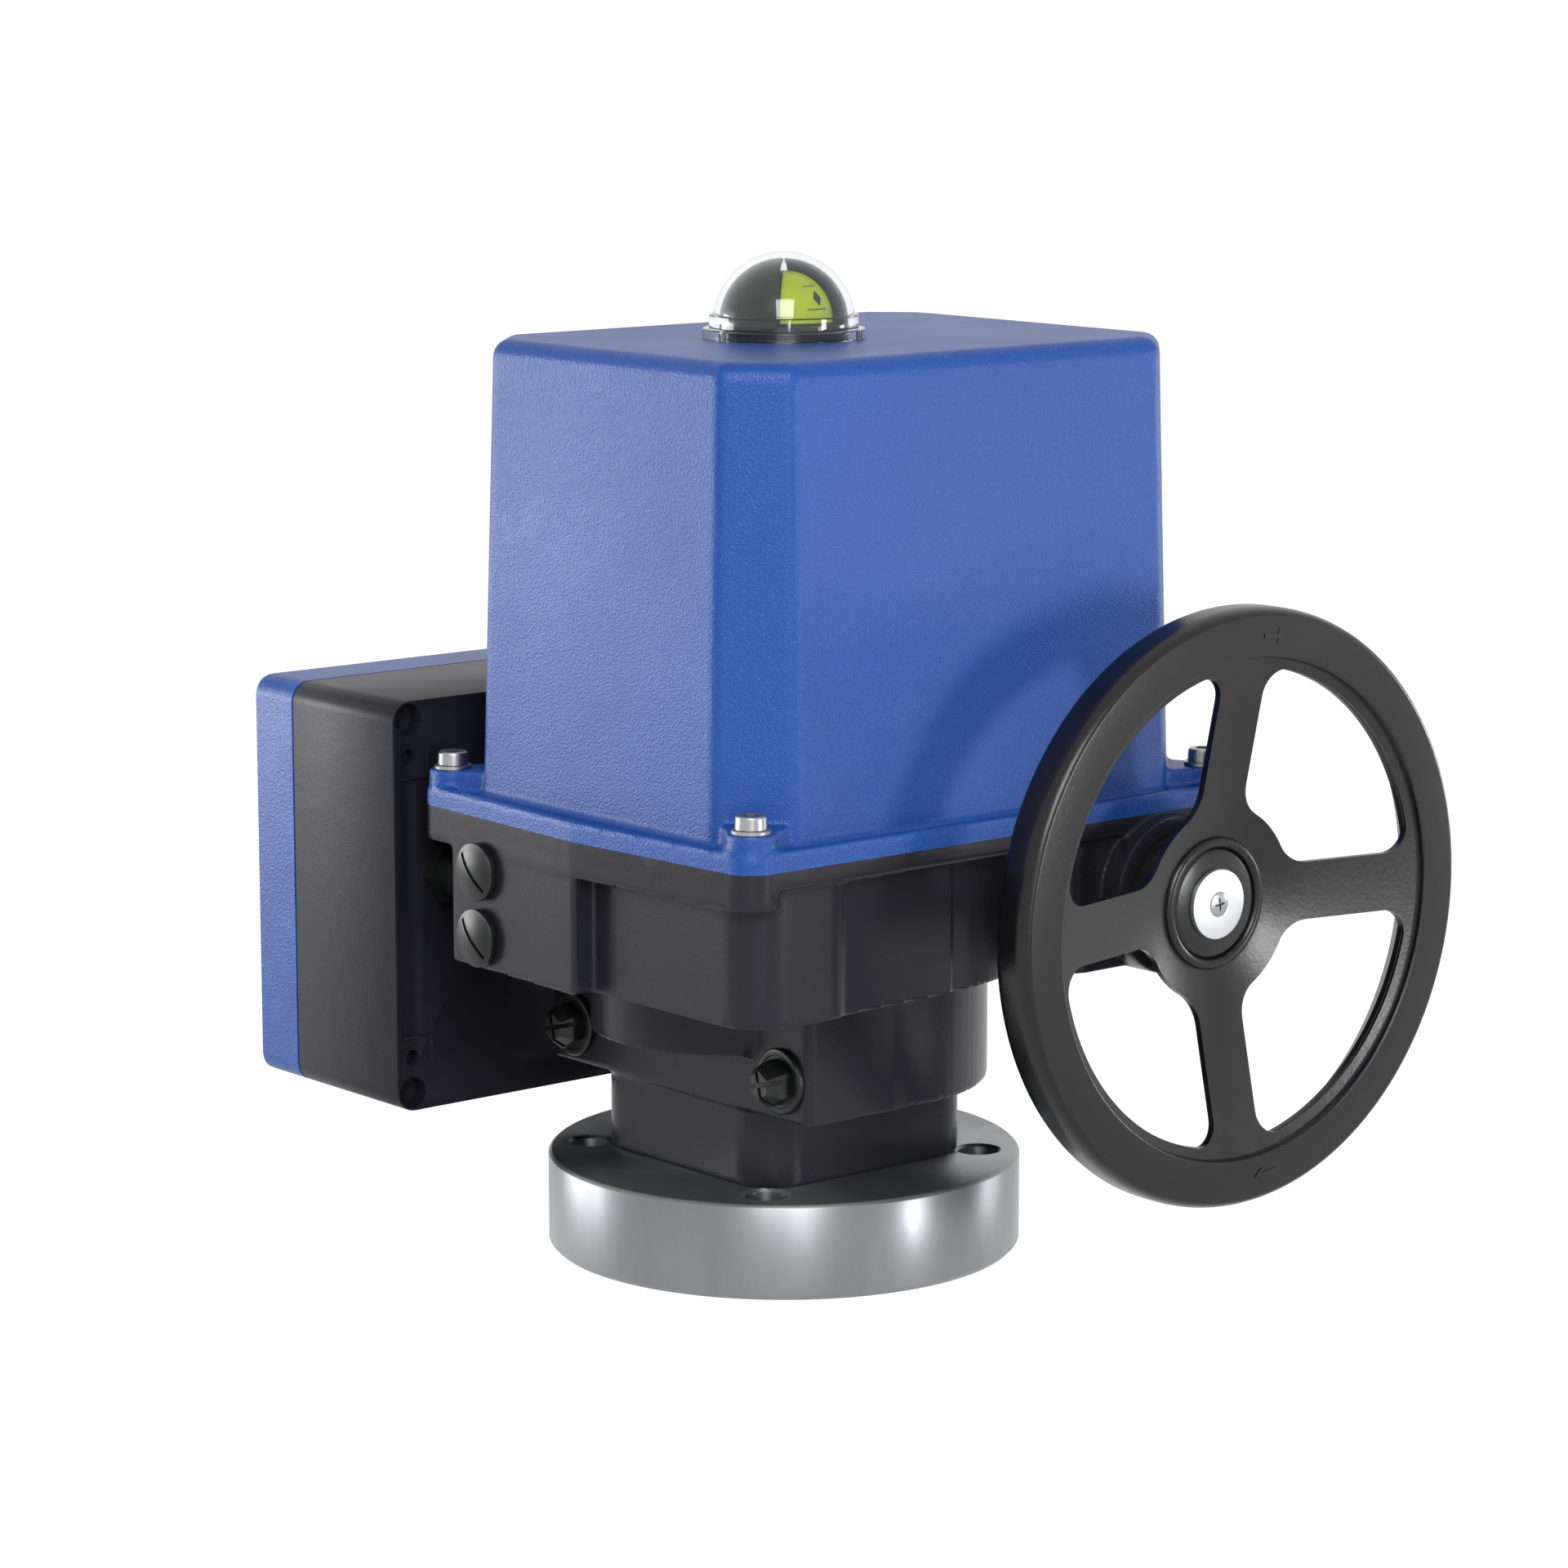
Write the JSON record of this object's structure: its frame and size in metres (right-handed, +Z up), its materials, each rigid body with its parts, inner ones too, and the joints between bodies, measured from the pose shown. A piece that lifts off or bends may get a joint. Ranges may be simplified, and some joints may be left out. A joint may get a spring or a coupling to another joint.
{
  "type": "electric valve actuator",
  "caption": "Quarter-turn electric valve actuator: round mounting disc, stepped gear housing, tapered motor cover with clear position dome, rear control enclosure and handwheel.",
  "frame": {"origin": "centre of the adapter disc's underside, the face that bolts to the valve", "axes": "+Z up along the output axis; the handwheel faces -Y, the conduit plugs face -X and the control enclosure is at +Y"},
  "size_m": [0.3589, 0.3832, 0.4185],
  "materials": {
    "machined_steel": "turned steel with dull patches",
    "stainless": "bright stainless",
    "casting": "charcoal satin paint on a casting",
    "black_plastic": "satin",
    "rubber": "matt",
    "bronze": "turned bronze",
    "handwheel_black": "black gloss coat on a casting",
    "bright_aluminium": "satin",
    "gold_aluminium": "gold anodised",
    "motor_grey": "satin",
    "white_plastic": "satin",
    "blue_paint": "fine textured powder coat",
    "clear_dome": "clear moulded plastic",
    "lime_plastic": "satin",
    "board_green": "satin"
  },
  "bodies": {
    "housing": {"adapter_flange": "machined_steel", "flange_screws": "stainless", "gear_housing": "casting", "conduit_plugs": "black_plastic", "plug_seals": "rubber", "stop_screws": "machined_steel", "stop_caps": "black_plastic", "lower_bush": "bronze", "upper_bush": "bronze", "sleeve_seal": "rubber", "worm_bearings": "stainless", "worm_seal": "rubber", "bearing_cover": "casting", "bearing_cover_screws": "stainless", "gear_plate": "machined_steel", "plate_screws": "stainless", "motor_bracket": "machined_steel", "motor": "motor_grey", "gearhead": "bright_aluminium", "idler_pin": "machined_steel", "switch_bracket": "bright_aluminium", "limit_switches": "black_plastic", "terminal_block": "white_plastic", "capacitor": "bright_aluminium", "heater": "gold_aluminium", "motor_cover": "blue_paint", "cover_seal": "rubber", "cover_screws": "stainless", "cover_washers": "stainless", "indicator_dome": "clear_dome", "dome_seal": "rubber", "dome_nut": "black_plastic", "dome_mask": "black_plastic", "enclosure_base": "casting", "enclosure_seal": "rubber", "enclosure_lid": "blue_paint", "lid_screws": "stainless", "enclosure_mounts": "stainless", "cable_nipple": "stainless", "control_board": "board_green", "board_parts": "black_plastic", "enclosure_terminals": "board_green"},
    "worm": {"worm_shaft": "machined_steel", "worm_gear": "machined_steel", "handwheel": "handwheel_black", "hub_key": "machined_steel", "hub_cap": "bright_aluminium", "hub_screw": "stainless"},
    "output": {"output_sleeve": "machined_steel", "drive_bush": "machined_steel", "worm_wheel": "bronze", "wheel_key": "machined_steel", "stop_quadrant": "machined_steel", "indicator_shaft": "stainless", "cams": "white_plastic", "marker_core": "black_plastic", "marker_panels": "lime_plastic"},
    "idler": {"idler_gear": "bronze"},
    "pinion": {"motor_shaft": "machined_steel", "drive_pinion": "machined_steel"}
  },
  "joints": [
    {"name": "worm_turn", "type": "hinge", "parent": "housing", "child": "worm", "pos_m": [0.1117, 0, 0.1524], "axis": [0, -1, 0], "range_deg": [0, 5130]},
    {"name": "output_turn", "type": "hinge", "parent": "housing", "child": "output", "pos_m": [0, 0, 0], "axis": [0, 0, 1], "range_deg": [0, 90]},
    {"name": "idler_turn", "type": "hinge", "parent": "housing", "child": "idler", "pos_m": [0.1117, 0, 0.1974], "axis": [0, 1, 0], "range_deg": [0, 4490]},
    {"name": "pinion_turn", "type": "hinge", "parent": "housing", "child": "pinion", "pos_m": [0.09584, 0, 0.23303], "axis": [0, -1, 0], "range_deg": [0, 7183]}
  ],
  "couplings": [
    {"joint": "output_turn", "follows": "worm_turn", "ratio": 0.017544},
    {"joint": "idler_turn", "follows": "worm_turn", "ratio": 0.875},
    {"joint": "pinion_turn", "follows": "worm_turn", "ratio": 1.4}
  ]
}
